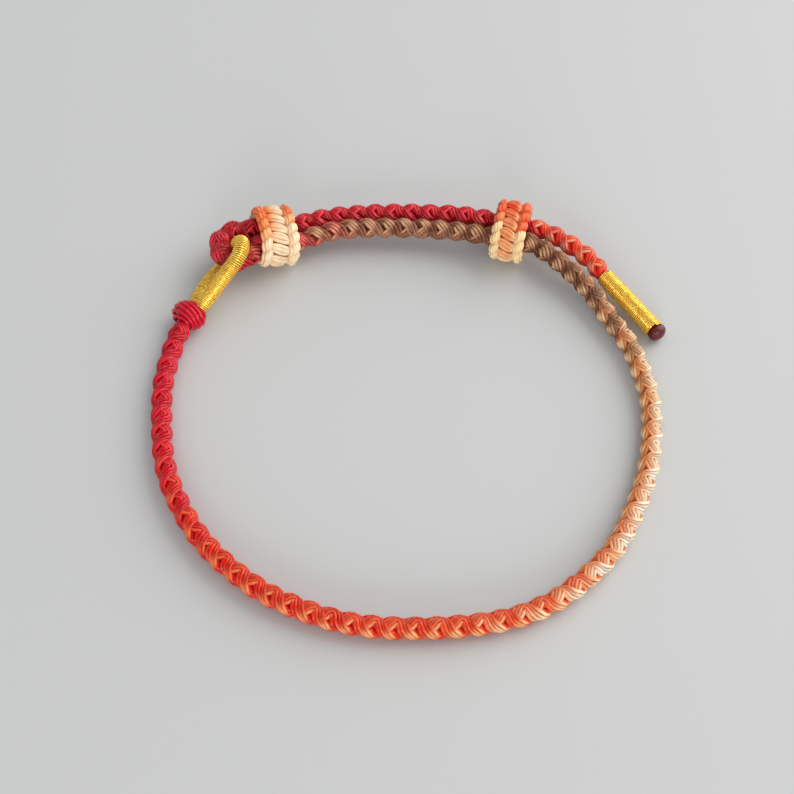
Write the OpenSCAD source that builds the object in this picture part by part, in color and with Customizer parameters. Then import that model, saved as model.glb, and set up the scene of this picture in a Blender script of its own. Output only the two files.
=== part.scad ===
// Knotted string bracelet, closed by two sliding knots, lying on its side.
// Millimetres, +Z up, the surface it lies on at Z = 0, the wrist's axis along Z.
// The braid starts at the button knot, goes once round the wrist, through both
// sliding knots, folds back through the gold loop and ends in the wrapped tail.

/* [Braid] */
// Thickness of the braid over its knots
braid_d = 2.56; // [2.3:0.02:2.6]
// Depth of the groove between two knots
groove = 0.2; // [0.1:0.05:0.3]
// Length of one knot along the braid
knot_pitch = 2.31; // [2.0:0.01:3.0]
// How far each knot leans along the braid, from one side to the other
knot_lean = 0.35; // [0:0.05:0.5]

/* [Sliding knots] */
// Length of a sliding knot along the braid
slider_l = 4.4; // [3.6:0.1:4.6]
// Thickness of its woven wall
slider_wall = 1.5; // [1.2:0.05:1.6]
// Knotted rows around it
slider_rows = 14; // [8:1:16]
// Depth of the groove between two rows
row_groove = 0.22; // [0.1:0.02:0.3]

/* [Button knot] */
// Diameter of the button knot
button_d = 3.7; // [3.4:0.1:3.8]
// Ridges of cord around it
button_ridges = 8; // [6:1:12]

/* [Gold-wrapped cords] */
// Diameter of the cord in the loop
loop_d = 1.9; // [1.6:0.02:1.9]
// Diameter of the wrapped tail
tail_d = 2.3; // [1.8:0.05:2.4]
// Length of the melted tip
tip_l = 1.2; // [0.8:0.1:1.6]

/* [Hidden] */

gap = 0.05;               // between neighbouring pieces
strand_r = braid_d / 2;
strand_step = 1.31;       // from a sliding knot's axis to each strand in it
hole_r = strand_r + 0.14; // of a sliding knot's hole, round each strand
rest_z = strand_r + 0.02; // height of the braid where it lies flat
rings_per_knot = 4;
braid_sides = 12;
cord_sides = 12;
span_steps = 10;          // points on the smooth route between two of its points

button_c = [-27.1, 12.8, button_d / 2];
left_c = [-16.9, 24.35, 3.08];
left_turn = [0, 12, 15];     // its left end is tipped up and towards the viewer
right_c = [12.5, 25.3, hole_r + slider_wall];
right_turn = [0, 0, -13];

// Route of the braid: from the button knot round the wrist, through both sliding
// knots, round the fold, back through both and on to the wrapped tail
braid_route = [
    [-27.85, 11.06, 1.75], [-28.6, 8.6, 1.45], [-29.4, 3.2, rest_z], [-29.1, -2.8, rest_z],
    [-28.1, -8.7, rest_z], [-25.9, -13.9, rest_z], [-23, -18.3, rest_z], [-19.5, -21.8, rest_z],
    [-15.8, -24.5, rest_z], [-11.9, -26.4, rest_z], [-8.1, -27.7, rest_z], [-4.3, -28.4, rest_z],
    [-0.5, -28.6, rest_z], [3.3, -28.5, rest_z], [7.3, -28.1, rest_z], [11.3, -27.2, rest_z],
    [15.4, -25.3, rest_z], [19.1, -22.4, rest_z], [22.5, -18.6, rest_z], [25, -13.9, rest_z],
    [27, -8.6, rest_z], [27.9, -3.5, rest_z], [28.1, 0.7, rest_z], [27.5, 4.7, rest_z],
    [26.3, 8.9, 1.36], [24.8, 11.7, 1.5], [22.4, 16, 1.9], [20.6, 18.4, 2.2],
    [18.4, 20.7, 2.6], [16.2, 22.6, 2.85], [14.5, 23.5, 2.92], [12.2, 24, 2.92], [10, 24.5, 2.92],
    [6.2, 25.3, 2.8], [2.5, 25.8, 2.7], [-1.3, 26, 2.7], [-5.1, 26, 2.7],
    [-9, 25.7, 2.65], [-12, 24.8, 2.6], [-14.4, 23.7, 2.62], [-16.6, 23.1, 3.08],
    [-18.8, 22.5, 3.55], [-19.7, 21, 3.7], [-20.5, 19.95, 3.7], [-21.9, 19.6, 3.7],
    [-23.2, 20.4, 3.7], [-24.05, 21.9, 3.7], [-23.7, 23.4, 3.7], [-22.6, 24.5, 3.7],
    [-21, 25, 3.65], [-19.3, 25.1, 3.55], [-17.2, 25.6, 3.08], [-15.1, 26.2, 2.62],
    [-12.8, 27.3, 2.45], [-9, 28.2, 2.4], [-5.1, 28.6, 2.4], [-1.3, 28.7, 2.4],
    [2.5, 28.6, 2.4], [6.2, 28.2, 2.6], [10.5, 27.1, 2.9], [12.8, 26.6, 2.92],
    [15, 26, 2.9], [17.3, 25.2, 2.7], [19.1, 24.2, 2.5], [20.8, 22.9, 2.3],
    [22.4, 21.4, 2.1], [24.1, 18.9, 1.8]];

// Route of the gold cord: over the lower strand, down through the fold and back
gold_route = [
    [-25.4, 13.95, 2.5], [-24.1, 15.5, 3.3], [-23.05, 16.7, 4.1], [-22.2, 17.5, 4.9],
    [-21.3, 18.4, 5.65], [-20.8, 19.6, 6], [-20.8, 20.9, 5.7], [-21.3, 21.9, 4.6],
    [-21.7, 22.1, 3.4], [-22.3, 21.7, 2.2], [-23.5, 20.7, 1.35], [-24.8, 19.1, 1.1],
    [-25.8, 17.2, 1], [-26.6, 14.95, 1.05]];
gold_level = [0.78, -0.62, 0];      // lies level across the gold cord's whole route

tail_start = braid_route[len(braid_route) - 1];
tail_end = [29.7, 11, 1.22];

// Points and directions
function unit(v) = v / norm(v);
function run(p, i = 0, s = 0) =
    i == len(p) - 1 ? [s] : concat([s], run(p, i + 1, s + norm(p[i + 1] - p[i])));
function heading(p, i) = unit(p[min(i + 1, len(p) - 1)] - p[max(i - 1, 0)]);
function column(s, p, axis) = [for (i = [0 : len(p) - 1]) [s[i], p[i][axis]]];
function slope(p, i) =
    let (a = max(i - 1, 0), b = min(i + 1, len(p) - 1))
    (p[b] - p[a]) / ((i > a ? norm(p[i] - p[a]) : 0) + (b > i ? norm(p[b] - p[i]) : 0));
function blend(p, i, t) =
    let (d = norm(p[i + 1] - p[i]), t2 = t * t, t3 = t * t * t)
    p[i] * (2 * t3 - 3 * t2 + 1) + slope(p, i) * d * (t3 - 2 * t2 + t)
    + p[i + 1] * (3 * t2 - 2 * t3) + slope(p, i + 1) * d * (t3 - t2);
function smooth(p) = concat(
    [for (i = [0 : len(p) - 2], k = [0 : span_steps - 1]) blend(p, i, k / span_steps)],
    [p[len(p) - 1]]);
// The smooth route as count + 1 evenly spaced points
function even(p, count) =
    let (q = smooth(p), s = run(q), total = s[len(s) - 1],
         x = column(s, q, 0), y = column(s, q, 1), z = column(s, q, 2))
    [for (k = [0 : count]) let (d = total * k / count)
        [lookup(d, x), lookup(d, y), lookup(d, z)]];
function route_length(p) = let (s = run(smooth(p))) s[len(s) - 1];

// A closed skin over rings that have the same number of points
module skin(rings) {
    n = len(rings[0]);
    last = len(rings) - 1;
    sides = [for (i = [0 : last - 1], j = [0 : n - 1])
        [i * n + j, i * n + (j + 1) % n, (i + 1) * n + (j + 1) % n, (i + 1) * n + j]];
    start = [[for (j = [n - 1 : -1 : 0]) j]];
    end = [[for (j = [0 : n - 1]) last * n + j]];
    polyhedron([for (r = rings, p = r) p], concat(sides, start, end), 10);
}

// A ring of points around a centre, leaning along the heading t on its two sides
function ring(c, t, r, sides, upright = [0, 0, 1], lean = 0) =
    let (side = unit(cross(t, upright)), up = cross(side, t))
    [for (j = [0 : sides - 1]) let (a = 360 * j / sides)
        c + r * (cos(a) * side + sin(a) * up) + lean * sin(2 * a) * t];

// The braid from one of its knots to another: a rounded bead for each knot
braid_knots = round(route_length(braid_route) / knot_pitch);
fold_knot = round(braid_knots * 0.745);     // where the two nodes meet, at the fold
braid_points = even(braid_route, braid_knots * rings_per_knot);
module braid(first, last) {
    from = first * rings_per_knot;
    to = last * rings_per_knot;
    skin([for (i = [from : to])
        let (wave = (1 + cos(360 * i / rings_per_knot)) / 2,
             lean = (i == from || i == to) ? 0 : knot_lean / 2)
        ring(braid_points[i], heading(braid_points, i), strand_r - groove * wave,
             braid_sides, lean = lean)]);
}

module braid_loop() {
    color("orangered") braid(0, fold_knot);
}

module braid_return() {
    color("crimson") braid(fold_knot, braid_knots);
}

module gold_loop() {
    count = round(route_length(gold_route) / (0.4 * loop_d));
    p = even(gold_route, count);
    color("gold") skin([for (i = [0 : count])
        ring(p[i], heading(p, i), loop_d / 2, cord_sides, gold_level)]);
}

// A ball of spiral ridges
module end_knot() {
    bands = 10;
    around = 3 * button_ridges;
    radius = button_d / 2;
    color("crimson") translate(button_c) rotate([0, 90, 62]) skin([for (i = [1 : bands - 1])
        let (polar = 180 * i / bands)
        [for (j = [0 : around - 1])
            let (a = 360 * j / around, ridge = cos(button_ridges * (a - 0.5 * polar)),
                 r = radius * (0.97 + 0.03 * ridge))
            [r * sin(polar) * cos(a), -r * sin(polar) * sin(a), -r * cos(polar)]]]);
}

// The point at a share u of the way round an oval with ends of radius r
function oval_point(u, r) =
    let (flat = 2 * strand_step, bend = PI * r, total = 2 * flat + 2 * bend, s = u * total)
    s < flat ? [strand_step - s, r]
    : s < flat + bend ? let (a = 90 + 180 * (s - flat) / bend)
        [-strand_step + r * cos(a), r * sin(a)]
    : s < 2 * flat + bend ? [-strand_step + s - flat - bend, -r]
    : let (a = -90 + 180 * (s - 2 * flat - bend) / bend)
        [strand_step + r * cos(a), r * sin(a)];

// The woven wall's height across a sliding knot: a middle column of rows, with a
// column of edge knots on each side, and the right-hand ones half a row behind
columns = [[-1, 0.5, 0], [-0.93, 0.78, 0], [-0.75, 0.9, 0], [-0.56, 0.82, 0],
           [-0.35, 0.97, 0], [-0.05, 1, 0], [0.25, 0.97, 0.25], [0.45, 0.82, 0.5],
           [0.7, 0.92, 0.5], [0.93, 0.8, 0.5], [1, 0.5, 0.5]];
function wall_height(c, row) =
    slider_wall * c[1] - row_groove * (1 - cos(360 * (row + c[2]))) / 2;

// A sliding knot: a woven band round the two strands, hollow along X
module slider() {
    half = slider_l / 2;
    steps = slider_rows * 4;
    rings = [for (i = [0 : steps - 1]) let (u = i / steps, inner = oval_point(u, hole_r))
        concat([for (c = columns)
                let (p = oval_point(u, hole_r + wall_height(c, u * slider_rows)))
                [c[0] * half, p[0], p[1]]],
            [[half, inner[0], inner[1]], [-half, inner[0], inner[1]]])];
    n = len(rings[0]);
    polyhedron([for (r = rings, p = r) p],
        [for (i = [0 : steps - 1], j = [0 : n - 1]) let (k = (i + 1) % steps)
            [i * n + j, i * n + (j + 1) % n, k * n + (j + 1) % n, k * n + j]], 10);
}

module slider_left() {
    color("peachpuff") translate(left_c) rotate(left_turn) slider();
}

module slider_right() {
    color("coral") translate(right_c) rotate(right_turn) slider();
}

// Lays what stands on Z = 0 along the tail, at a distance from its start
module along_tail(distance) {
    v = tail_end - tail_start;
    translate(tail_start + unit(v) * distance)
        rotate([0, acos(v[2] / norm(v)), atan2(v[1], v[0])]) children();
}

module tail_wrap() {
    wrap_l = norm(tail_end - tail_start) - gap;
    edge = 0.2;
    color("gold") along_tail(gap) rotate_extrude($fn = 48) polygon([
        [0, 0], [tail_d / 2 - edge, 0], [tail_d / 2, edge],
        [tail_d / 2, wrap_l - edge], [tail_d / 2 - edge, wrap_l], [0, wrap_l]]);
}

module tail_tip() {
    r = tail_d / 2 - 0.02;
    steps = 6;
    color("darkred") along_tail(norm(tail_end - tail_start) + gap)
        rotate_extrude($fn = 48) polygon(concat([[0, 0], [r - 0.15, 0]],
            [for (k = [0 : steps]) let (a = 90 * k / steps)
                [r * cos(a), 0.3 + (tip_l - 0.3) * sin(a)]]));
}

braid_loop();
braid_return();
end_knot();
gold_loop();
slider_left();
slider_right();
tail_wrap();
tail_tip();
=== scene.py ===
"""A knotted string bracelet with gold-wrapped cords, closed by two sliding knots.

The braid, the woven bands and the windings are made here thread by thread, round the
routes that the solids follow. Lengths are in metres, except where MM multiplies a number
in millimetres or a comment says mm.
"""
import math

import bpy
import numpy as np
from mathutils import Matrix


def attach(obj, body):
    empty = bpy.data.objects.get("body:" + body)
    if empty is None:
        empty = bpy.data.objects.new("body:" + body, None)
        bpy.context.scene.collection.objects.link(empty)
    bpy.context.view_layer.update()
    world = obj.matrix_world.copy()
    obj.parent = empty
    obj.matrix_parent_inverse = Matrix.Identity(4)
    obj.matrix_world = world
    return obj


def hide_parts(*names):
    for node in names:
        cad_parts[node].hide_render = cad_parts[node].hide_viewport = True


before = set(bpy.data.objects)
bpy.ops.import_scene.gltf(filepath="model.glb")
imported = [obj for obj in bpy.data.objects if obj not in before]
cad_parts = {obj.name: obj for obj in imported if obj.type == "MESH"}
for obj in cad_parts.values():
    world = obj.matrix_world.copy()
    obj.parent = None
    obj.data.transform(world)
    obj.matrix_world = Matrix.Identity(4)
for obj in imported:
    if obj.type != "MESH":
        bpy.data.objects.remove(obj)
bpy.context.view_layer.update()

MM = 0.001

# Braid
BRAID_D = 2.6 * MM
KNOTS = 98
FOLD_KNOT = 73             # where its two pieces meet
KNOT_SHIFT = 0.4           # from a knot's start to height 0 in KNOT_PATH, in knots
GROOVE_SHIFT = 0.92        # from a knot's start to the groove before the next one, in knots
END_SHARE = 0.62           # its width where it enters the tail, as a share
END_TAPER = 4 * MM         # the length in which it would narrow there to nothing
END_MARGIN = 0.4 * MM      # how far its threads run on past its ends
FOLD_MIDDLE = 173 * MM     # along the braid
FOLD_REACH = 8 * MM        # how far to each side of that it is folded
FOLD_SWELL = 0.55          # how much wider the braid is on the fold's inner side

# Threads of each of the braid's two cords
THREADS = 4
THREAD_D = 0.42 * MM
THREAD_SIDES = 6
THREAD_SPACING = 0.8       # from one to the next, as a share of the width in KNOT_PATH
THREAD_SHADES = (1.0, 0.66, 0.96, 0.76)   # how bright each of them is
MIDDLE_PROUD = 0.06 * MM   # how far the two middle threads stand out
SIDE_PAINTED_SHADE = 0.9            # how much painted shade, in its shade colour, a thread takes down its sides
PAINTED_SHADE_RANGE = 0.5 * MM      # how far in from the surface a thread has only its painted shade colour
SPARE_KNOTS = 2            # worked out before the first and after the last
CURVE_STEPS = 8            # steps between two of KNOT_PATH's points
KNOT_POINTS = 24           # points of a thread along a knot

# Threads down the braid's middle, which show in its openings, in the painted shade colour only
CORE_THREADS = 5
CORE_THREAD_D = 0.74 * MM
CORE_R = 0.76 * MM
CORE_TURN = 2.5            # knots to one turn
CORE_POINTS = 5            # points of a thread along a knot

# How unevenly the braid is tied: standard deviations
KNOT_TURN_SPREAD = 3.5     # degrees, a knot as a whole
POINT_TURN_SPREAD = 2      # degrees, each of its points
RADIUS_SPREAD = 0.015      # mm
WIDTH_SPREAD = 0.06        # share of the width
HEIGHT_SPREAD = 0.03       # knots

# How much painted highlight a thread has, as a share of what KNOT_PATH says
PAINTED_HIGHLIGHT_LEAST = 0.68
PAINTED_HIGHLIGHT_RANGE = 0.255        # how much more than that it has at most

# Sliding knots
LEFT_L = 4.8 * MM
RIGHT_L = 4.15 * MM
LEFT_C = np.array([-17.1, 24.3, 3.2]) * MM
RIGHT_C = np.array([12.65, 25.3, 2.92]) * MM
LEFT_TURN = (12, 15)       # degrees about Y, then about Z
RIGHT_TURN = (0, -13)
SLIDER_WALL = 1.5 * MM
SLIDER_ROWS = 14
STRAND_STEP = 1.31 * MM    # from the knot's axis to each strand in it
HOLE_R = 1.42 * MM
BAND_MID_R = 2.6 * MM      # the bend that the rows are spaced on
BAND_THREAD_D = 0.56 * MM
BAND_POINTS = 17           # points of a thread
BAND_SIDE_PAINTED_SHADE = 0.4       # as SIDE_PAINTED_SHADE, painted shade down a thread's sides
BAND_PAINTED_SHADE_FROM = 0.9 * MM  # below the surface, where a thread begins to take painted shade
BAND_PAINTED_SHADE_RANGE = 0.4 * MM
ROW_SPREAD = 0.03          # standard deviations: of where a bundle lies, in rows,
LIFT_SPREAD = 0.03 * MM    # of a thread's height,
SHADE_SPREAD = 0.06        # and of its dye
BAND_SEED = 5

# Bundles across the middle of a sliding knot: shares of its half width, and rows
WRAP_ROW = 0.5             # where in its row a bundle lies
WRAP_FROM = -0.60          # its left end, across the knot
WRAP_WIDTH = 1.12
WRAP_LEAN = 0.64           # from its left end to its right one, in rows
WRAP_GAP = 0.08            # between two threads at their ends
WRAP_BULGE = 0.23          # and how much more than that in the middle
WRAP_BELOW = (0.42, 0.28, 0.42)           # each thread below the surface, mm
WRAP_DIP = 0.75 * MM       # how much further down its ends are

# Lobes round the edges of a sliding knot: shares of its half width, and rows
LOBE_ROWS = ((-1, 0.95), (1, 0.55))       # side, and where in its row a lobe lies
LOBE_FROM = 0.44           # its inner thread's ends, across the knot
LOBE_BULGE = 0.12          # how much further out its middle is
LOBE_STEP = 0.12           # from one thread to the next, across and in rows
LOBE_LENGTH = 1.1          # in rows
LOBE_BELOW = (0.46, 0.28, 0.34, 0.66)     # each thread below the surface, mm
LOBE_DIP = 0.7 * MM        # how much further down its ends are

# Rings of cord inside a sliding knot: share of its half width, height above the hole in mm
BAND_CORE = ((-0.76, 0.30), (-0.4, 0.40), (0, 0.40), (0.4, 0.40), (0.76, 0.30))
BAND_CORE_D = 0.98 * MM
BAND_CORE_POINTS = 97
BAND_CORE_DYE_ROW = 3      # the row whose dye they take

# Button knot
BUTTON_C = np.array([-27.1, 12.8, 1.85]) * MM
BUTTON_SIZE = np.array([3.5, 4.5, 3.7]) * MM    # along its axis, across and high
BUTTON_AXIS = 62           # degrees from +X, towards the gold loop
BUTTON_TURNS = 8
BUTTON_CORD_D = 0.5 * MM
BUTTON_CORE_R = 1.5 * MM
BUTTON_REACH = 0.93        # how near its cord comes to the ends of the axis
BUTTON_LEAN = 0.35         # of its turns across the axis, as a slope
BUTTON_SIDE_PAINTED_SHADE = 0.5     # as SIDE_PAINTED_SHADE, painted shade down the cord's sides
BUTTON_POINTS = 30         # points to one turn

# Gold-wrapped cords
LOOP_D = 1.96 * MM
LOOP_MARGIN = 1.0 * MM     # how far its ends run on into the button knot
LOOP_ACROSS = (0.78, -0.62, 0)            # square to the plane that the loop lies in
TAIL_D = 2.3 * MM
TIP_L = 1.2 * MM
TIP_GAP = 0.05 * MM        # from the winding to the tip
TIP_RIM = 0.35 * MM        # from the tip's back to where it is widest
TIP_PROUD = 0.02 * MM      # how far it stands out from the tail there
WIRE_D = 0.23 * MM
WIRE_SIDES = 8
WIRE_POINTS = 20           # points to one turn
WIRE_OVERLAP = 1.02        # how thick it is for its spacing, so that its turns touch
WIRE_DEPTH = 0.35          # how much of the wire lies in the cord
MARGIN_CONE = 0.25         # how fast the radius falls off past the ends
CORD_END_SHARE = 0.15      # thickness of the cord inside at its very end, as a share
CORD_END_L = 0.3 * MM      # the length in which it would narrow there to nothing
CORD_SIDES = 16
CORD_POINTS = 60

# Round pieces: the tip, and the ball inside the button knot
ROUND_SIDES = 24
TIP_POINTS = 12
BALL_POINTS = 14
POLE_GAP = 0.02            # radians, a hole too small to see at the end of a round piece

ROUTE_STEPS = 10           # steps between two points of a route
FIRST_SIDE = (0.37, 0.21, 0.9)            # any direction that no thread starts in

REST_Z = 1.3               # mm, the middle of the braid where it lies flat
BRAID_ROUTE = np.array([
    [-27.85, 11.06, 1.75], [-28.6, 8.6, 1.45], [-29.4, 3.2, REST_Z], [-29.1, -2.8, REST_Z],
    [-28.1, -8.7, REST_Z], [-25.9, -13.9, REST_Z], [-23, -18.3, REST_Z], [-19.5, -21.8, REST_Z],
    [-15.8, -24.5, REST_Z], [-11.9, -26.4, REST_Z], [-8.1, -27.7, REST_Z], [-4.3, -28.4, REST_Z],
    [-0.5, -28.6, REST_Z], [3.3, -28.5, REST_Z], [7.3, -28.1, REST_Z], [11.3, -27.2, REST_Z],
    [15.4, -25.3, REST_Z], [19.1, -22.4, REST_Z], [22.5, -18.6, REST_Z], [25, -13.9, REST_Z],
    [27, -8.6, REST_Z], [27.9, -3.5, REST_Z], [28.1, 0.7, REST_Z], [27.5, 4.7, REST_Z],
    [26.3, 8.9, 1.36], [24.8, 11.7, 1.5], [22.4, 16, 1.9], [20.6, 18.4, 2.2],
    [18.4, 20.7, 2.6], [16.2, 22.6, 2.85], [14.5, 23.5, 2.92], [12.2, 24, 2.92], [10, 24.5, 2.92],
    [6.2, 25.3, 2.8], [2.5, 25.8, 2.7], [-1.3, 26, 2.7], [-5.1, 26, 2.7],
    [-9, 25.7, 2.65], [-12, 24.8, 2.6], [-14.4, 23.7, 2.62], [-16.6, 23.1, 3.08],
    [-18.8, 22.5, 3.55], [-19.7, 21, 3.7], [-20.5, 19.95, 3.7], [-21.9, 19.6, 3.7],
    [-23.2, 20.4, 3.7], [-24.05, 21.9, 3.7], [-23.7, 23.4, 3.7], [-22.6, 24.5, 3.7],
    [-21, 25, 3.65], [-19.3, 25.1, 3.55], [-17.2, 25.6, 3.08], [-15.1, 26.2, 2.62],
    [-12.8, 27.3, 2.45], [-9, 28.2, 2.4], [-5.1, 28.6, 2.4], [-1.3, 28.7, 2.4],
    [2.5, 28.6, 2.4], [6.2, 28.2, 2.6], [10.5, 27.1, 2.9], [12.8, 26.6, 2.92],
    [15, 26, 2.9], [17.3, 25.2, 2.7], [19.1, 24.2, 2.5], [20.8, 22.9, 2.3],
    [22.4, 21.4, 2.1], [24.1, 18.9, 1.8]]) * MM
GOLD_ROUTE = np.array([
    [-25.4, 13.95, 2.5], [-24.1, 15.5, 3.3], [-23.05, 16.7, 4.1], [-22.2, 17.5, 4.9],
    [-21.3, 18.4, 5.65], [-20.8, 19.6, 6], [-20.8, 20.9, 5.7], [-21.3, 21.9, 4.6],
    [-21.7, 22.1, 3.4], [-22.3, 21.7, 2.2], [-23.5, 20.7, 1.35], [-24.8, 19.1, 1.1],
    [-25.8, 17.2, 1], [-26.6, 14.95, 1.05]]) * MM
TAIL_START = BRAID_ROUTE[-1]
TAIL_END = np.array([29.7, 11, 1.22]) * MM

# How one of the braid's two cords runs through a knot. Columns: angle from the top
# towards the outside, degrees; distance from the middle, mm; height along the braid,
# in knots; the width that its threads' spacing follows, mm; how much painted highlight
# its inner thread has and how much the others, from 0 to 1. The next knot is this one
# turned by 180 degrees.
KNOT_PATH = np.array([
    (50, 0.42, -0.70, 0.28, 0, 0), (38, 0.55, -0.56, 0.30, 0.1, 0),
    (24, 0.76, -0.42, 0.36, 0.4, 0.1), (12, 0.94, -0.28, 0.42, 0.8, 0.1),
    (-2, 1.04, -0.16, 0.45, 0.9, 0.1), (-16, 1.07, -0.05, 0.46, 0.7, 0.2),
    (-27, 1.07, 0.06, 0.46, 0.4, 0.2), (-33, 1.07, 0.17, 0.46, 0.2, 0.2),
    (-29, 1.07, 0.27, 0.46, 0, 0.1), (-14, 1.07, 0.35, 0.46, 0, 0.1),
    (8, 1.07, 0.41, 0.46, 0, 0), (32, 1.07, 0.48, 0.47, 0, 0),
    (56, 1.06, 0.58, 0.50, 0, 0.2), (76, 1.04, 0.71, 0.54, 0.2, 0.9),
    (94, 1.02, 0.86, 0.50, 0.3, 1.0), (107, 1.04, 1.00, 0.46, 0, 0.3),
    (112, 1.04, 1.13, 0.44, 0, 0), (110, 0.95, 1.27, 0.42, 0, 0),
    (104, 0.72, 1.38, 0.36, 0, 0), (92, 0.50, 1.46, 0.30, 0, 0),
    (60, 0.40, 1.42, 0.26, 0, 0), (10, 0.38, 1.20, 0.26, 0, 0),
    (-45, 0.38, 0.95, 0.26, 0, 0), (-95, 0.38, 0.70, 0.26, 0, 0),
    (-130, 0.40, 0.46, 0.28, 0, 0)])

# Where the knots lie: distance along the braid in mm, knots tied so far
KNOT_PLACES = np.array([
    (-4.8, -2), (0, 0), (31, 13), (67, 28.6), (154, 66.7), (190, 82.3), (226.6, 98), (231.2, 100)])

# How far the braid is turned about its own line: knots so far, degrees
TWIST = np.array([(0, -40), (5, -35), (14, -12), (21, 0), (30, 4), (36, 18), (50, 20),
                  (62, 110), (70, 60), (80, -8), (98, -8)])

# How much narrower the braid is between two knots: knots so far, share of its width
GROOVES = np.array([(0, 0.28), (34, 0.26), (44, 0.36), (60, 0.38), (98, 0.38)])

# Colours of the braid's threads, going along it: on its left and on its right, their dye with
# painted light, for where the braid runs up the right side its side towards the window is
# painted near white and the other a darker orange; the painted highlight; and the painted
# shade deep inside and down the threads' sides: distance along the braid in mm, then a screen colour
LEFT_DYE_AND_PAINTED_LIGHT = [
    (0, (216, 0, 52)), (17, (222, 2, 46)), (28, (234, 50, 26)), (53, (238, 58, 26)),
    (69, (242, 88, 34)), (80, (240, 138, 60)), (97, (246, 150, 66)), (106, (204, 120, 56)),
    (113, (124, 72, 44)), (120, (90, 50, 30)), (134, (128, 78, 54)), (150, (186, 128, 100)),
    (163, (202, 10, 44)), (207, (226, 10, 50)), (213, (252, 120, 88)), (219, (248, 92, 50)),
    (226, (245, 100, 56))]
RIGHT_DYE_AND_PAINTED_LIGHT = [
    (0, (208, 0, 42)), (17, (216, 6, 38)), (30, (234, 48, 24)), (48, (236, 70, 30)),
    (61, (242, 100, 50)), (72, (255, 205, 150)), (80, (255, 255, 238)), (104, (255, 254, 230)),
    (113, (226, 170, 120)), (120, (162, 104, 70)), (138, (165, 106, 74)), (152, (188, 128, 100)),
    (159, (200, 60, 46)), (166, (200, 4, 36)), (207, (210, 8, 34)), (214, (250, 52, 28)),
    (226, (252, 70, 34))]
PAINTED_HIGHLIGHT_COLOURS = [
    (0, (238, 22, 64)), (17, (242, 48, 60)), (28, (255, 135, 72)), (60, (255, 205, 140)),
    (72, (255, 240, 200)), (106, (255, 236, 184)), (118, (222, 172, 126)), (150, (226, 172, 134)),
    (163, (252, 66, 92)), (207, (252, 80, 98)), (214, (255, 200, 165)), (226, (255, 160, 105))]
PAINTED_SHADE_COLOURS = [
    (0, (196, 0, 30)), (17, (210, 0, 18)), (48, (226, 12, 10)), (67, (236, 58, 26)),
    (80, (230, 112, 48)), (106, (210, 112, 52)), (118, (110, 60, 38)), (152, (100, 52, 36)),
    (164, (150, 2, 20)), (212, (190, 4, 24)), (226, (235, 36, 18))]
MIDDLE_SIDE = 0.3          # how much of the right-hand colour the braid's middle has
FIRST_CORD_TINT = (0.97, 0.84, 0.72, 1)
FIRST_CORD_LAG = 8 * MM    # how much further along the first cord changes its dye

# Values that a thread with no change of dye across it has in the mesh
PLAIN_THREAD = {"cord": 1.0, "side": 0.5, "light": 0.0, "shade": 1.0}

# Dye of the sliding knots from orange, 0, to cream, 1, and the colour of their painted shade deep
# inside and down the threads' sides
LEFT_SLIDER_DYE = [(0.0, (242, 100, 40)), (0.45, (252, 172, 105)), (1.0, (255, 236, 198))]
LEFT_SLIDER_PAINTED_SHADE = (205, 112, 60)
RIGHT_SLIDER_DYE = [(0.0, (240, 76, 34)), (0.45, (246, 158, 100)), (1.0, (255, 232, 176))]
RIGHT_SLIDER_PAINTED_SHADE = (200, 70, 40)

# Orange shoulders of the left sliding knot, each from where it begins to where it is full:
# in twelfths of the way round the band, and in shares of the knot's half width
LEFT_SHOULDERS = [((4.6, 2.6), (0.05, -0.5)), ((3.4, 1.6), (0.3, 0.6))]
LEFT_CREAM = 0.95          # dye away from the shoulders
LEFT_ORANGE = 0.1          # and on them

# Cream areas of the right sliding knot, each from where it begins to where it is full
RIGHT_MIDDLE = (1.6, 3.0)  # in twelfths of the way round
RIGHT_LOWER = (2.7, 3.4)
RIGHT_LOWER_LAG = 0.7      # how much further round the lower area begins on the right
RIGHT_BOTTOM = (5.8, 6.6)
RIGHT_EDGE = (0.40, 0.52)  # in shares of the half width
RIGHT_TIPS = (0.18, 0.38)

# How cream each of them is, added up where they overlap
RIGHT_CREAM = {"everywhere": 0.1, "middle": 0.25, "lower": 0.15, "lower_edge": 0.65,
               "tips": 0.6, "bottom": 0.8}

# Camera and light
LENS = 66                  # mm
SENSOR_W = 36              # mm
ELEVATION = 56             # degrees above the floor
TARGET = np.array([-1.7, 2.0, 0]) * MM
DISTANCE = 173.2 * MM
SKY_COLOUR = (0.95, 0.97, 1.0, 1)
SKY_LIGHT = 0.58
FLOOR_W = 3.0              # metres


# Curves

def unit(v):
    """The vectors with length 1."""
    return v / np.linalg.norm(v, axis=-1, keepdims=True)


def smooth(points, steps):
    """A smooth curve through the points, with this many steps between two of them."""
    gaps = np.linalg.norm(np.diff(points[:, :3], axis=0), axis=1)
    before = np.concatenate([[0], gaps])
    after = np.concatenate([gaps, [0]])
    nearest = np.pad(points, ((1, 1), (0, 0)), mode="edge")
    slopes = (nearest[2:] - nearest[:-2]) / (before + after)[:, None]
    t = (np.arange(steps) / steps)[:, None]
    spans = [
        points[i] * (2 * t**3 - 3 * t**2 + 1)
        + slopes[i] * gaps[i] * (t**3 - 2 * t**2 + t)
        + points[i + 1] * (3 * t**2 - 2 * t**3)
        + slopes[i + 1] * gaps[i] * (t**3 - t**2)
        for i in range(len(points) - 1)]
    return np.vstack(spans + [points[-1:]])


def distances(points):
    """How far along the polyline each of its points is."""
    return np.concatenate([[0], np.cumsum(np.linalg.norm(np.diff(points[:, :3], axis=0), axis=1))])


def sample(points, at):
    """The polyline's points at these distances from its start."""
    along = distances(points)
    return np.stack([np.interp(at, along, column) for column in points.T], axis=1)


def even(points, count):
    """The polyline as this many evenly spaced points."""
    return sample(points, np.linspace(0, distances(points)[-1], count))


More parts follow.
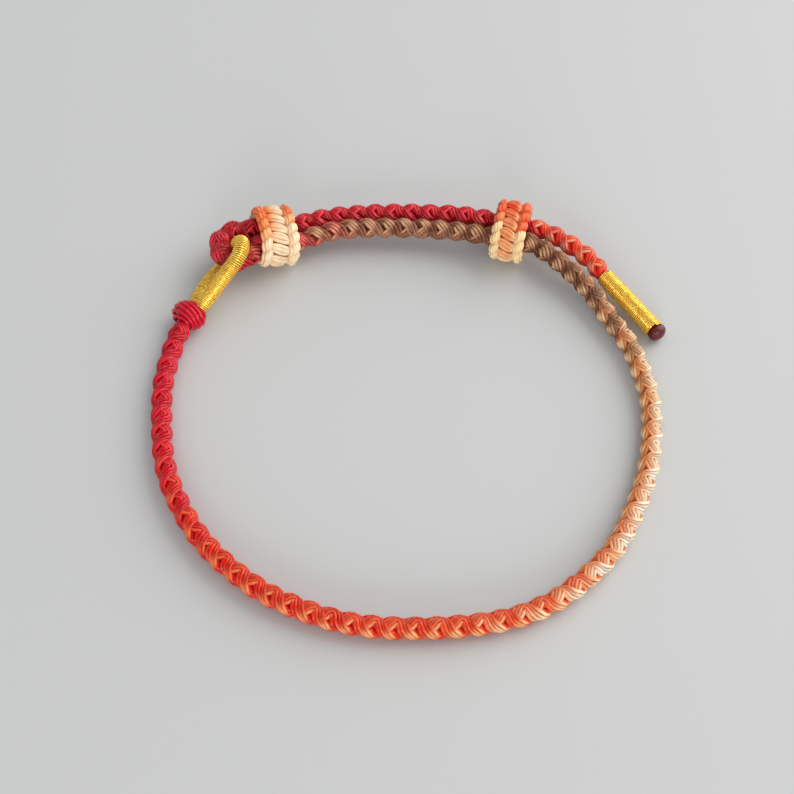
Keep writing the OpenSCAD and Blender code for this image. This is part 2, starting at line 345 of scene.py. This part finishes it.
class Route:
    """A smooth route with the directions up and outward at each place on it."""

    def __init__(self, points, upright=(0, 0, 1)):
        self.points = smooth(points, ROUTE_STEPS)
        self.along = distances(self.points)
        self.length = self.along[-1]
        self.headings = unit(np.gradient(self.points, axis=0))
        self.upright = np.array(upright, float)

    def at(self, s):
        """Centre, up and outward at the distances s. Beyond its ends the route runs straight on."""
        inside = np.clip(s, 0, self.length)
        centre = np.stack([np.interp(inside, self.along, c) for c in self.points.T], axis=1)
        heading = unit(np.stack([np.interp(inside, self.along, c) for c in self.headings.T], axis=1))
        centre = centre + heading * (s - inside)[:, None]
        outward = unit(np.cross(heading, self.upright))
        return centre, np.cross(outward, heading), outward

    def place(self, across, out, s):
        """World points for places given as height, outward offset and distance along."""
        centre, up, outward = self.at(s)
        return centre + up * across[:, None] + outward * out[:, None]


# Meshes

def turned_frames(points):
    """Two directions across the polyline at each point, turning as little as they can."""
    headings = unit(np.gradient(points, axis=0))
    side = unit(np.cross(headings[0], FIRST_SIDE))
    sides = [side]
    for heading in headings[1:]:
        side = side - heading * side.dot(heading)
        side = side / np.linalg.norm(side)
        sides.append(side)
    sides = np.array(sides)
    return sides, np.cross(headings, sides)


class Threads:
    """Collects tubes for one mesh, with UVs and values for the materials."""

    def __init__(self, sides):
        self.sides = sides
        self.rings, self.faces, self.uvs, self.values = [], [], [], []
        self.count = 0

    def add(self, points, diameter, outward=None, side_painted_shade=SIDE_PAINTED_SHADE, **values):
        """A tube of this diameter. diameter and the values are numbers or one for each point.

        With outward, a direction for each point, the tube also takes painted shade down its sides,
        where it meets its neighbours."""
        n, m = len(points), self.sides
        a, b = turned_frames(points)
        turn = (np.arange(m) * 2 * math.pi / m)[None, :, None]
        radius = np.broadcast_to(np.asarray(diameter, float) / 2, (n,))[:, None, None]
        normal = a[:, None] * np.cos(turn) + b[:, None] * np.sin(turn)
        ring = points[:, None] + radius * normal
        # painted shade down the sides that face away from outward
        if outward is not None:
            facing = np.clip((normal * outward[:, None]).sum(axis=-1), 0, 1)
            deep = np.broadcast_to(np.asarray(values["deep"], float), (n,))[:, None]
            values["deep"] = np.maximum(deep, side_painted_shade * (1 - facing) ** 1.5)
        self.rings.append(ring.reshape(-1, 3))
        i, j = np.meshgrid(np.arange(n - 1), np.arange(m), indexing="ij")
        k = (j + 1) % m
        quads = np.stack([i * m + j, i * m + k, (i + 1) * m + k, (i + 1) * m + j], axis=-1)
        self.faces.append(quads.reshape(-1, 4) + self.count)
        v = distances(points) / MM
        u = np.stack([j, j + 1, j + 1, j], axis=-1) / m
        v = np.stack([v[i], v[i], v[i + 1], v[i + 1]], axis=-1)
        self.uvs.append(np.stack([u, v], axis=-1).reshape(-1, 2))
        self.values.append({
            name: self.spread(value, n).ravel() for name, value in values.items()})
        self.count += n * m

    def spread(self, value, n):
        """A number, one value a point, or one a corner, as one a corner."""
        value = np.asarray(value, float)
        if value.ndim == 1:
            value = value[:, None]
        return np.broadcast_to(value, (n, self.sides))

    def build(self, name, material):
        """The mesh object of all tubes added so far."""
        mesh = bpy.data.meshes.new(name)
        points = np.concatenate(self.rings)
        faces = np.concatenate(self.faces)
        mesh.from_pydata(points.tolist(), [], faces.tolist())
        mesh.polygons.foreach_set("use_smooth", [True] * len(faces))
        layer = mesh.uv_layers.new(name="thread")
        layer.data.foreach_set("uv", np.concatenate(self.uvs).ravel())
        for value in self.values[0]:
            attribute = mesh.attributes.new(value, "FLOAT", "POINT")
            attribute.data.foreach_set("value", np.concatenate([v[value] for v in self.values]))
        mesh.materials.append(material)
        piece = bpy.data.objects.new(name, mesh)
        bpy.context.scene.collection.objects.link(piece)
        return piece


def stand_in(piece, slot, *nodes):
    """The piece rides on the one body and is shown in place of these solids."""
    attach(piece, "root")
    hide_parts(*nodes)


# Materials

def linear(colour):
    """A screen colour from 0 to 255 as the light values that shaders use."""
    share = np.array(colour, float) / 255
    light = np.where(share <= 0.04045, share / 12.92, ((share + 0.055) / 1.055) ** 2.4)
    return (*light, 1.0)


class Nodes:
    """Short names for making a material's nodes."""

    def __init__(self, name):
        self.material = bpy.data.materials.new(name)
        self.material.use_nodes = True
        self.tree = self.material.node_tree
        self.shader = self.tree.nodes["Principled BSDF"]

    def new(self, kind, **settings):
        node = self.tree.nodes.new(kind)
        for key, value in settings.items():
            setattr(node, key, value)
        return node

    def link(self, source, target):
        self.tree.links.new(source, target)

    def set(self, **values):
        """Sets the shader's inputs, with _ for the spaces in their names."""
        for name, value in values.items():
            self.shader.inputs[name.replace("_", " ")].default_value = value

    def value(self, name):
        """A value that the mesh carries."""
        return self.new("ShaderNodeAttribute", attribute_name=name).outputs["Fac"]

    def ramp(self, factor, stops):
        """A colour ramp through (place from 0 to 1, screen colour) stops."""
        node = self.new("ShaderNodeValToRGB")
        elements = node.color_ramp.elements
        while len(elements) < len(stops):
            elements.new(0.5)
        for element, (place, colour) in zip(elements, stops):
            element.position = place
            element.color = linear(colour)
        self.link(factor, node.inputs["Fac"])
        return node.outputs["Color"]

    def mix(self, factor, a, b, blend="MIX"):
        """Two colours mixed. The factor and the colours are values or other nodes' outputs."""
        node = self.new("ShaderNodeMix", data_type="RGBA", blend_type=blend)
        for source, target in ((factor, node.inputs[0]), (a, node.inputs[6]), (b, node.inputs[7])):
            if isinstance(source, bpy.types.NodeSocket):
                self.link(source, target)
            else:
                target.default_value = source
        return node.outputs[2]

    def thread_noise(self, around, along, detail=3.0):
        """Noise drawn out along the threads: cells round a thread, and cells per millimetre."""
        place = self.new("ShaderNodeUVMap", uv_map="thread")
        scale = self.new("ShaderNodeMapping")
        scale.inputs["Scale"].default_value = (around, along, 1)
        noise = self.new("ShaderNodeTexNoise", noise_dimensions="2D")
        noise.inputs["Scale"].default_value = 1.0
        noise.inputs["Detail"].default_value = detail
        self.link(place.outputs["UV"], scale.inputs["Vector"])
        self.link(scale.outputs["Vector"], noise.inputs["Vector"])
        return noise.outputs["Fac"]

    def noise(self, per_metre):
        """Even noise with this many cells in a metre."""
        noise = self.new("ShaderNodeTexNoise")
        noise.inputs["Scale"].default_value = per_metre
        return noise.outputs["Fac"]

    def bump(self, height, depth, strength):
        """Normals for a height from 0 to 1 that is this deep, in metres."""
        node = self.new("ShaderNodeBump")
        node.inputs["Strength"].default_value = strength
        node.inputs["Distance"].default_value = depth
        self.link(height, node.inputs["Height"])
        return node.outputs["Normal"]


def silky(nodes, colour, shade_colour):
    """Finishes a thread material: painted shade in its shade colour where the mesh asks, fine fibres,
    shades and a silky gloss.
    """
    fibres = nodes.thread_noise(around=9.0, along=0.9)
    blotches = nodes.thread_noise(around=1.0, along=0.7, detail=1.0)
    shade = nodes.ramp(blotches, [(0.3, (222, 222, 222)), (0.7, (255, 255, 255))])
    # painted shade: the mesh's painted shade value mixes in the shade colour
    colour = nodes.mix(nodes.value("deep"), colour, shade_colour)
    nodes.link(nodes.mix(0.6, colour, shade, "MULTIPLY"), nodes.shader.inputs["Base Color"])
    nodes.link(nodes.bump(fibres, depth=0.04 * MM, strength=0.6), nodes.shader.inputs["Normal"])
    around = nodes.new("ShaderNodeTangent", direction_type="UV_MAP", uv_map="thread")
    nodes.link(around.outputs["Tangent"], nodes.shader.inputs["Tangent"])
    nodes.set(Roughness=0.3, Specular_IOR_Level=0.6, Specular_Tint=(1.0, 0.62, 0.48, 1),
              Anisotropic=0.85, Subsurface_Weight=0.05, Subsurface_Scale=0.25 * MM,
              Subsurface_Radius=(1.0, 0.35, 0.2))
    return nodes.material


def braid_material():
    """Dye that changes along the braid and from its left to its right side, with the side towards the
    window painted lighter, painted highlights, and painted shade inwards.
    """
    nodes = Nodes("braid_thread")
    along = nodes.value("along")
    left, right, light, deep = [
        nodes.ramp(along, [(place * MM / ROUTE.length, colour) for place, colour in dye])
        for dye in (LEFT_DYE_AND_PAINTED_LIGHT, RIGHT_DYE_AND_PAINTED_LIGHT, PAINTED_HIGHLIGHT_COLOURS, PAINTED_SHADE_COLOURS)]
    # painted light: the left and right colours are dye and also the painted light of the side towards
    # the window
    colour = nodes.mix(nodes.value("side"), left, right)
    tint = nodes.mix(nodes.value("cord"), FIRST_CORD_TINT, (1, 1, 1, 1))
    colour = nodes.mix(1.0, colour, tint, "MULTIPLY")
    colour = nodes.mix(1.0, colour, nodes.value("shade"), "MULTIPLY")
    # painted highlight: the paler highlight colour where the mesh's light value says
    return silky(nodes, nodes.mix(nodes.value("light"), colour, light), deep)


def dyed_material(name, stops, shade_colour):
    """A thread whose dye follows the mesh's own value from 0 to 1, with painted shade in the given
    colour.
    """
    nodes = Nodes(name)
    return silky(nodes, nodes.ramp(nodes.value("dye"), stops), linear(shade_colour))


def gold_material():
    """Metallic thread with painted glints, paler streaks drawn out along it, and painted shade down
    the sides of its turns.
    """
    nodes = Nodes("gold_thread")
    # painted glint: random paler yellow streaks along the wire
    painted_glint = nodes.thread_noise(around=2.0, along=8.0, detail=2.0)
    colour = nodes.ramp(painted_glint, [(0.36, (252, 158, 8)), (0.64, (255, 250, 122))])
    # painted shade: dark orange down the sides of the turns and on the cord inside
    colour = nodes.mix(nodes.value("deep"), colour, linear((176, 84, 0)))
    nodes.link(colour, nodes.shader.inputs["Base Color"])
    nodes.set(Metallic=0.5, Roughness=0.22, Specular_Tint=(1.0, 0.92, 0.6, 1))
    return nodes.material


def tip_material():
    """Dark melted plastic, a little lumpy."""
    nodes = Nodes("melted_tip")
    nodes.set(Base_Color=linear((92, 4, 18)), Roughness=0.2)
    lumps = nodes.noise(per_metre=1800)
    nodes.link(nodes.bump(lumps, depth=0.05 * MM, strength=0.4), nodes.shader.inputs["Normal"])
    return nodes.material


def floor_material():
    """Plain grey with a fine grain."""
    nodes = Nodes("floor")
    grain = nodes.noise(per_metre=900)
    nodes.link(nodes.bump(grain, depth=0.05 * MM, strength=0.15), nodes.shader.inputs["Normal"])
    nodes.set(Base_Color=linear((194, 195, 194)), Roughness=0.6)
    return nodes.material


# Pieces

def cord_through_knots(cord, first, last, rng):
    """One cord's middle line through these knots.

    Columns: height above the middle, outward offset, distance along, the width that its
    threads' spacing follows, and how much painted highlight the inner one and the others have."""
    rows = []
    for knot in range(first, last):
        angle, radius, height, width, painted_highlight_in, painted_highlight_out = KNOT_PATH.T
        turn = math.pi * ((knot + cord) % 2)
        turn += math.radians(np.interp(knot, *TWIST.T))
        angle = angle + rng.normal(0, KNOT_TURN_SPREAD)
        angle = np.radians(angle + rng.normal(0, POINT_TURN_SPREAD, len(angle))) + turn
        radius = radius + rng.normal(0, RADIUS_SPREAD, len(radius))
        width = width * (1 + rng.normal(0, WIDTH_SPREAD))
        height = height + rng.normal(0, HEIGHT_SPREAD)
        along = np.interp(height + knot + KNOT_SHIFT, KNOT_PLACES[:, 1], KNOT_PLACES[:, 0])
        rows.append(np.column_stack([
            radius * np.cos(angle) * MM, radius * np.sin(angle) * MM, along * MM,
            width * MM, painted_highlight_in, painted_highlight_out]))
    return np.vstack(rows)


def cord_line(cord, first, last, rng):
    """The same line, smooth and with even points, without the spare knots at its ends."""
    control = cord_through_knots(cord, first - SPARE_KNOTS, last + SPARE_KNOTS, rng)
    line = smooth(control, CURVE_STEPS)
    per_knot = len(KNOT_PATH) * CURVE_STEPS
    start = SPARE_KNOTS * per_knot
    end = start + (last - first) * per_knot
    return even(line[start:end + 1], (last - first) * KNOT_POINTS + 1)


def braid_threads(name, first, last, seed):
    """The braid from one knot to another: two cords of four threads, and its core."""
    threads = Threads(THREAD_SIDES)
    rng = np.random.default_rng(seed)
    for cord in (0, 1):
        line = cord_line(cord, first, last, rng)
        middle, width, painted_highlight_in, painted_highlight_out = line[:, :3], line[:, 3:4], line[:, 4], line[:, 5]
        heading = unit(np.gradient(middle, axis=0))
        outward = unit(middle * (1, 1, 0))
        side = unit(np.cross(heading, outward))
        proud = np.cross(side, heading)
        for k in range(THREADS):
            place = k - (THREADS - 1) / 2
            thread = middle + side * width * place * THREAD_SPACING
            thread = thread + proud * (MIDDLE_PROUD * (abs(place) < 1))
            # painted highlight: the inner thread takes the inner column, the others the outer one
            light = painted_highlight_in if k == THREADS - 1 else painted_highlight_out
            light = light * (PAINTED_HIGHLIGHT_LEAST + PAINTED_HIGHLIGHT_RANGE * rng.random())
            add_braid_thread(threads, thread, cord, light, THREAD_SHADES[k])
    for k in range(CORE_THREADS):
        add_core_thread(threads, first, last, k)
    return threads.build(name, MATERIALS["braid"])


def width_share(knots):
    """The braid's width as a share of its widest, which dips between two knots."""
    wave = 1 - np.abs(np.sin(math.pi * (knots - GROOVE_SHIFT)))
    return 1 - np.interp(knots, *GROOVES.T) * wave


def add_braid_thread(threads, thread, cord, light, shade):
    """A thread of a straight braid, bent along the route and kept inside its width."""
    s = thread[:, 2]
    knots = np.interp(s / MM, *KNOT_PLACES.T)
    narrow = np.clip(END_SHARE + (ROUTE.length - s) / END_TAPER, END_SHARE, 1)
    radius = np.linalg.norm(thread[:, :2], axis=1)
    most = BRAID_D / 2 - THREAD_D / 2
    share = width_share(knots) * narrow * np.minimum(1, most / radius)
    s = np.clip(s, -END_MARGIN, ROUTE.length + END_MARGIN)
    fold = np.exp(-((s - FOLD_MIDDLE) / FOLD_REACH) ** 4)
    swell = 1 + FOLD_SWELL * fold * (thread[:, 1] > 0)
    world = ROUTE.place(thread[:, 0] * share, thread[:, 1] * share * swell, s)
    # painted shade: threads deeper inside the braid take the shade colour
    deep = np.clip((most - radius) / PAINTED_SHADE_RANGE, 0, 1)
    side = np.clip(MIDDLE_SIDE + thread[:, 1] / radius, 0, 1)
    along = (s - FIRST_CORD_LAG * (cord == 0)) / ROUTE.length
    threads.add(world, THREAD_D, unit(world - ROUTE.at(s)[0]), along=along, cord=cord,
                side=side, light=light, deep=deep, shade=shade)


def add_core_thread(threads, first, last, k):
    """One of the threads that run down the middle of the braid and show in its openings."""
    knots = np.linspace(first, last, (last - first) * CORE_POINTS + 1)
    s = np.interp(knots, KNOT_PLACES[:, 1], KNOT_PLACES[:, 0]) * MM
    angle = 2 * math.pi * (knots / CORE_TURN + k / CORE_THREADS)
    radius = CORE_R * width_share(knots)
    world = ROUTE.place(radius * np.cos(angle), radius * np.sin(angle), s)
    # the core threads have only the painted shade colour
    threads.add(world, CORE_THREAD_D, along=s / ROUTE.length, deep=1.0, **PLAIN_THREAD)


def past_ends(route, s):
    """How far the distances s lie past the route's ends."""
    return np.maximum(0, np.maximum(-s, s - route.length))


def winding(name, route, diameter, extra):
    """A gold wire wound closely round a cord along the route, and past its ends."""
    threads = Threads(WIRE_SIDES)
    turns = round((route.length + 2 * extra) / WIRE_D)
    count = turns * WIRE_POINTS + 1
    s = np.linspace(WIRE_D / 2 - extra, route.length - WIRE_D / 2 + extra, count)
    angle = np.linspace(0, 2 * math.pi * turns, count)
    radius = (diameter - WIRE_D) / 2 - MARGIN_CONE * past_ends(route, s)
    coil = route.place(radius * np.cos(angle), radius * np.sin(angle), s)
    # painted shade only down the wire's sides
    threads.add(coil, WIRE_OVERLAP * WIRE_D, unit(coil - route.at(s)[0]), deep=0.0)
    return threads.build(name, MATERIALS["gold"])


def cord_core(name, route, diameter, extra):
    """The cord inside a winding, closed at its ends."""
    threads = Threads(CORD_SIDES)
    s = np.linspace(-extra, route.length + extra, CORD_POINTS)
    to_end = np.minimum(s + extra, route.length + extra - s)
    taper = np.minimum(1, CORD_END_SHARE + to_end / CORD_END_L)
    centre, _, _ = route.at(s)
    # the cord inside has only the painted shade colour
    threads.add(centre, (diameter - 2 * MARGIN_CONE * past_ends(route, s)) * taper, deep=1.0)
    return threads.build(name, MATERIALS["gold"])


def wound_cord(name, route, diameter, extra, node):
    """The gold winding with its cord inside, shown in place of a solid."""
    piece = winding(name, route, diameter, extra)
    core = cord_core(name + "_core", route, diameter - 2 * (1 - WIRE_DEPTH) * WIRE_D, extra)
    core.parent = piece
    stand_in(piece, "gold_thread", node)


def button_knot():
    """A ball wound with cord, its turns leaning across the line to the gold loop."""
    threads = Threads(THREAD_SIDES)
    azimuth = math.radians(BUTTON_AXIS)
    axis = np.array([math.cos(azimuth), math.sin(azimuth), 0])
    right = np.array([math.sin(azimuth), -math.cos(azimuth), 0])
    up = np.array([0, 0, 1])
    polar = np.linspace(-BUTTON_REACH, BUTTON_REACH, BUTTON_TURNS * BUTTON_POINTS) * math.pi / 2
    angle = np.linspace(0, 2 * math.pi * BUTTON_TURNS, len(polar))
    side = np.cos(polar) * np.cos(angle)
    high = np.cos(polar) * np.sin(angle)
    length = np.sin(polar) - BUTTON_LEAN * np.cos(polar) * side
    local = unit(np.column_stack([length, side, high])) * (BUTTON_SIZE - BUTTON_CORD_D) / 2
    points = BUTTON_C + local @ np.array([axis, right, up])
    # painted shade down the cord's sides between its turns
    threads.add(points, BUTTON_CORD_D, unit(points - BUTTON_C), BUTTON_SIDE_PAINTED_SHADE,
                along=0.0, deep=0.0, **PLAIN_THREAD)
    piece = threads.build("button_knot", MATERIALS["braid"])
    core = ball("button_knot_core", BUTTON_C, BUTTON_CORE_R, MATERIALS["braid"])
    core.parent = piece
    stand_in(piece, "knot_cord", "end_knot")


def ball(name, centre, radius, material):
    """A plain ball, for the inside of the button knot."""
    threads = Threads(ROUND_SIDES)
    polar = np.linspace(POLE_GAP, math.pi - POLE_GAP, BALL_POINTS)
    points = np.stack([-radius * np.cos(polar), 0 * polar, 0 * polar], axis=1)
    # the ball has only the painted shade colour
    threads.add(points + centre, 2 * radius * np.sin(polar), along=0.0, deep=1.0, **PLAIN_THREAD)
    return threads.build(name, material)


class Band:
    """Places on a sliding knot's woven band, as shares of its width, rows and height."""

    def __init__(self, centre, turn, length):
        self.centre = centre
        self.length = length
        y, z = (math.radians(a) for a in turn)
        tilt = np.array([[math.cos(y), 0, math.sin(y)], [0, 1, 0], [-math.sin(y), 0, math.cos(y)]])
        yaw = np.array([[math.cos(z), -math.sin(z), 0], [math.sin(z), math.cos(z), 0], [0, 0, 1]])
        self.turn = yaw @ tilt

    def place(self, across, row, height):
        """World points. across is from -1 to 1 along the strands, height in metres."""
        flat, bend = 2 * STRAND_STEP, math.pi * BAND_MID_R
        corners = np.cumsum([0, flat, bend, flat, bend])
        s = (row / SLIDER_ROWS) % 1 * corners[-1]
        middle = np.interp(s, corners, STRAND_STEP * np.array([1, -1, -1, 1, 1]))
        angle = np.interp(s, corners, np.radians([90, 90, 270, 270, 450]))
        out = HOLE_R + height
        local = np.column_stack([
            across * self.length / 2, middle + out * np.cos(angle), out * np.sin(angle)])
        return self.centre + local @ self.turn.T


def band_thread(threads, band, across, rows, height, dye):
    """A thread laid on the band."""
    points = band.place(across, rows, height)
    outward = unit(band.place(across, rows, height + 0.1 * MM) - points)
    # painted shade: deeper threads take the knot's shade colour
    deep = np.clip((SLIDER_WALL - BAND_PAINTED_SHADE_FROM - height) / BAND_PAINTED_SHADE_RANGE, 0, 1)
    threads.add(points, BAND_THREAD_D, outward, BAND_SIDE_PAINTED_SHADE, dye=dye, deep=deep)


def wrap_bundle(threads, band, row, dye, rng):
    """Three threads across the middle of the band, leaning down to the right, like a leaf."""
    t = np.linspace(0, 1, BAND_POINTS)
    arch = np.sin(math.pi * t) ** 0.7
    across = WRAP_FROM + WRAP_WIDTH * t
    row = row + rng.normal(0, ROW_SPREAD)
    for k, below in zip((-1, 0, 1), WRAP_BELOW):
        rows = row + WRAP_LEAN * (t - 0.5) + k * (WRAP_GAP + WRAP_BULGE * arch)
        height = SLIDER_WALL - below * MM - WRAP_DIP * np.abs(2 * t - 1) ** 3
        shade = dye(across, row) + rng.normal(0, SHADE_SPREAD)
        band_thread(threads, band, across, rows, height + rng.normal(0, LIFT_SPREAD), shade)


def edge_lobe(threads, band, side, row, dye, rng):
    """A loop's threads that turn round the edge of the band, between two rows."""
    t = np.linspace(0, 1, BAND_POINTS)
    arch = np.sin(math.pi * t) ** 0.8
    row = row + rng.normal(0, ROW_SPREAD)
    for k, below in enumerate(LOBE_BELOW):
        across = side * (LOBE_FROM + LOBE_BULGE * arch + LOBE_STEP * k)
        rows = row + LOBE_LENGTH * (t - 0.5) + LOBE_STEP * (1.5 - k) * side
        height = SLIDER_WALL - below * MM - LOBE_DIP * (1 - arch) ** 1.5
        shade = dye(across, row) + rng.normal(0, SHADE_SPREAD)
        band_thread(threads, band, across, rows, height, shade)


def band_core(threads, band, dye):
    """Rings of cord inside the band, which close it between the knots and at its sides."""
    rows = np.linspace(0, SLIDER_ROWS, BAND_CORE_POINTS)
    for across, height in BAND_CORE:
        across = np.full(len(rows), across)
        ring = band.place(across, rows, height * MM)
        # the rings have only the painted shade colour
        threads.add(ring, BAND_CORE_D, dye=dye(across, BAND_CORE_DYE_ROW), deep=1.0)


def slider(name, centre, turn, length, dye, material, slot, node):
    """A sliding knot: a band of knots round both strands."""
    threads = Threads(THREAD_SIDES)
    band = Band(centre, turn, length)
    rng = np.random.default_rng(BAND_SEED)
    for row in range(SLIDER_ROWS):
        wrap_bundle(threads, band, row + WRAP_ROW, dye, rng)
        for side, start in LOBE_ROWS:
            edge_lobe(threads, band, side, row + start, dye, rng)
    band_core(threads, band, dye)
    stand_in(threads.build(name, material), slot, node)


def share_between(value, start, end):
    """How far the value is from start to end, from 0 to 1."""
    return np.clip((value - start) / (end - start), 0, 1)


def way_down(row):
    """Twelfths of the way round the band, from its back over the top and down."""
    return 12 * ((row / SLIDER_ROWS + 1 / 6) % 1)


def left_dye(across, row):
    """Orange on the upper shoulders and cream elsewhere, from 0 to 1."""
    down = way_down(row)
    left, right = [
        share_between(down, *rows) * share_between(across, *shares)
        for rows, shares in LEFT_SHOULDERS]
    return LEFT_CREAM + (LEFT_ORANGE - LEFT_CREAM) * np.maximum(left, right)


def right_dye(across, row):
    """Orange on top and in the middle, cream at the lower edges, from 0 to 1."""
    down = way_down(row)
    lower = share_between(down - RIGHT_LOWER_LAG * (across > 0), *RIGHT_LOWER)
    edge = share_between(np.abs(across), *RIGHT_EDGE)
    areas = {
        "everywhere": 1,
        "middle": share_between(down, *RIGHT_MIDDLE) * (1 - edge),
        "lower": lower,
        "lower_edge": lower * edge,
        "tips": share_between(across, *RIGHT_TIPS) * (1 - edge),
        "bottom": share_between(down, *RIGHT_BOTTOM),
    }
    return np.clip(sum(RIGHT_CREAM[name] * share for name, share in areas.items()), 0, 1)


def tail_tip():
    """The tail's melted end, a drop with a flat back."""
    threads = Threads(ROUND_SIDES)
    heading = unit(TAIL_END - TAIL_START)
    r = TAIL_D / 2
    # Distance along and radius, at the back and then over the drop
    back = [(0, 0.01 * MM), (0.02 * MM, r - 0.12 * MM), (0.1 * MM, r - 0.02 * MM)]
    polar = np.linspace(0, math.pi / 2 - POLE_GAP, TIP_POINTS)
    drop = np.column_stack([
        TIP_RIM + (TIP_L - TIP_RIM) * np.sin(polar), (r + TIP_PROUD) * np.cos(polar)])
    along, radius = np.vstack([back, drop]).T
    points = TAIL_END + heading * (TIP_GAP + along)[:, None]
    threads.add(points, 2 * radius)
    stand_in(threads.build("tail_tip_bead", MATERIALS["tip"]), "melted_tip", "tail_tip")


# Scene

def camera():
    """Looks down on the bracelet from the front."""
    data = bpy.data.cameras.new("camera")
    data.lens = LENS
    data.sensor_width = SENSOR_W
    data.sensor_fit = "HORIZONTAL"
    data.clip_start = 0.01
    elevation = math.radians(ELEVATION)
    piece = bpy.data.objects.new("camera", data)
    piece.location = TARGET + DISTANCE * np.array([0, -math.cos(elevation), math.sin(elevation)])
    piece.rotation_euler = (math.pi / 2 - elevation, 0, 0)
    bpy.context.scene.collection.objects.link(piece)
    bpy.context.scene.camera = piece


def area_light(name, location, size, power, colour):
    """A round lamp that faces the middle of the floor. Metres and watts."""
    data = bpy.data.lights.new(name, "AREA")
    data.shape = "DISK"
    data.size = size
    data.energy = power
    data.color = colour
    piece = bpy.data.objects.new(name, data)
    piece.location = location
    x, y, z = location
    yaw = math.atan2(-y, -x)
    drop = math.atan2(z, math.hypot(x, y))
    piece.rotation_euler = (math.pi / 2 - drop, 0, yaw - math.pi / 2)
    bpy.context.scene.collection.objects.link(piece)


def lights():
    """A window behind on the right, a soft lamp in front, and an even sky."""
    area_light("window", location=(0.58, 0.36, 0.42), size=1.00, power=7.2, colour=(1.0, 0.985, 0.96))
    area_light("front", location=(0.0, -0.75, 0.22), size=0.40, power=3.0, colour=(1.0, 0.99, 0.97))
    world = bpy.data.worlds.new("studio")
    world.use_nodes = True
    background = world.node_tree.nodes["Background"]
    background.inputs["Color"].default_value = SKY_COLOUR
    background.inputs["Strength"].default_value = SKY_LIGHT
    bpy.context.scene.world = world


def floor():
    """A level sheet."""
    half = FLOOR_W / 2
    mesh = bpy.data.meshes.new("floor")
    mesh.from_pydata([(-half, -half, 0), (half, -half, 0), (half, half, 0), (-half, half, 0)],
                     [], [(0, 1, 2, 3)])
    mesh.materials.append(floor_material())
    piece = bpy.data.objects.new("floor", mesh)
    bpy.context.scene.collection.objects.link(piece)


ROUTE = Route(BRAID_ROUTE)
MATERIALS = {
    "braid": braid_material(),
    "gold": gold_material(),
    "tip": tip_material(),
    "left": dyed_material("slider_peach_thread", LEFT_SLIDER_DYE, LEFT_SLIDER_PAINTED_SHADE),
    "right": dyed_material("slider_coral_thread", RIGHT_SLIDER_DYE, RIGHT_SLIDER_PAINTED_SHADE),
}

bpy.context.scene.view_settings.view_transform = "Standard"
camera()
lights()
floor()
stand_in(braid_threads("braid_loop_threads", 0, FOLD_KNOT, seed=1), "braid_cord", "braid_loop")
stand_in(braid_threads("braid_return_threads", FOLD_KNOT, KNOTS, seed=2), "braid_cord", "braid_return")
button_knot()
wound_cord("gold_loop_winding", Route(GOLD_ROUTE, LOOP_ACROSS), LOOP_D, LOOP_MARGIN, "gold_loop")
wound_cord("tail_winding", Route(np.array([TAIL_START, TAIL_END])), TAIL_D, 0, "tail_wrap")
tail_tip()
slider("slider_left_threads", LEFT_C, LEFT_TURN, LEFT_L, left_dye, MATERIALS["left"],
       "slider_cord_peach", "slider_left")
slider("slider_right_threads", RIGHT_C, RIGHT_TURN, RIGHT_L, right_dye, MATERIALS["right"],
       "slider_cord_coral", "slider_right")

bpy.context.view_layer.update()
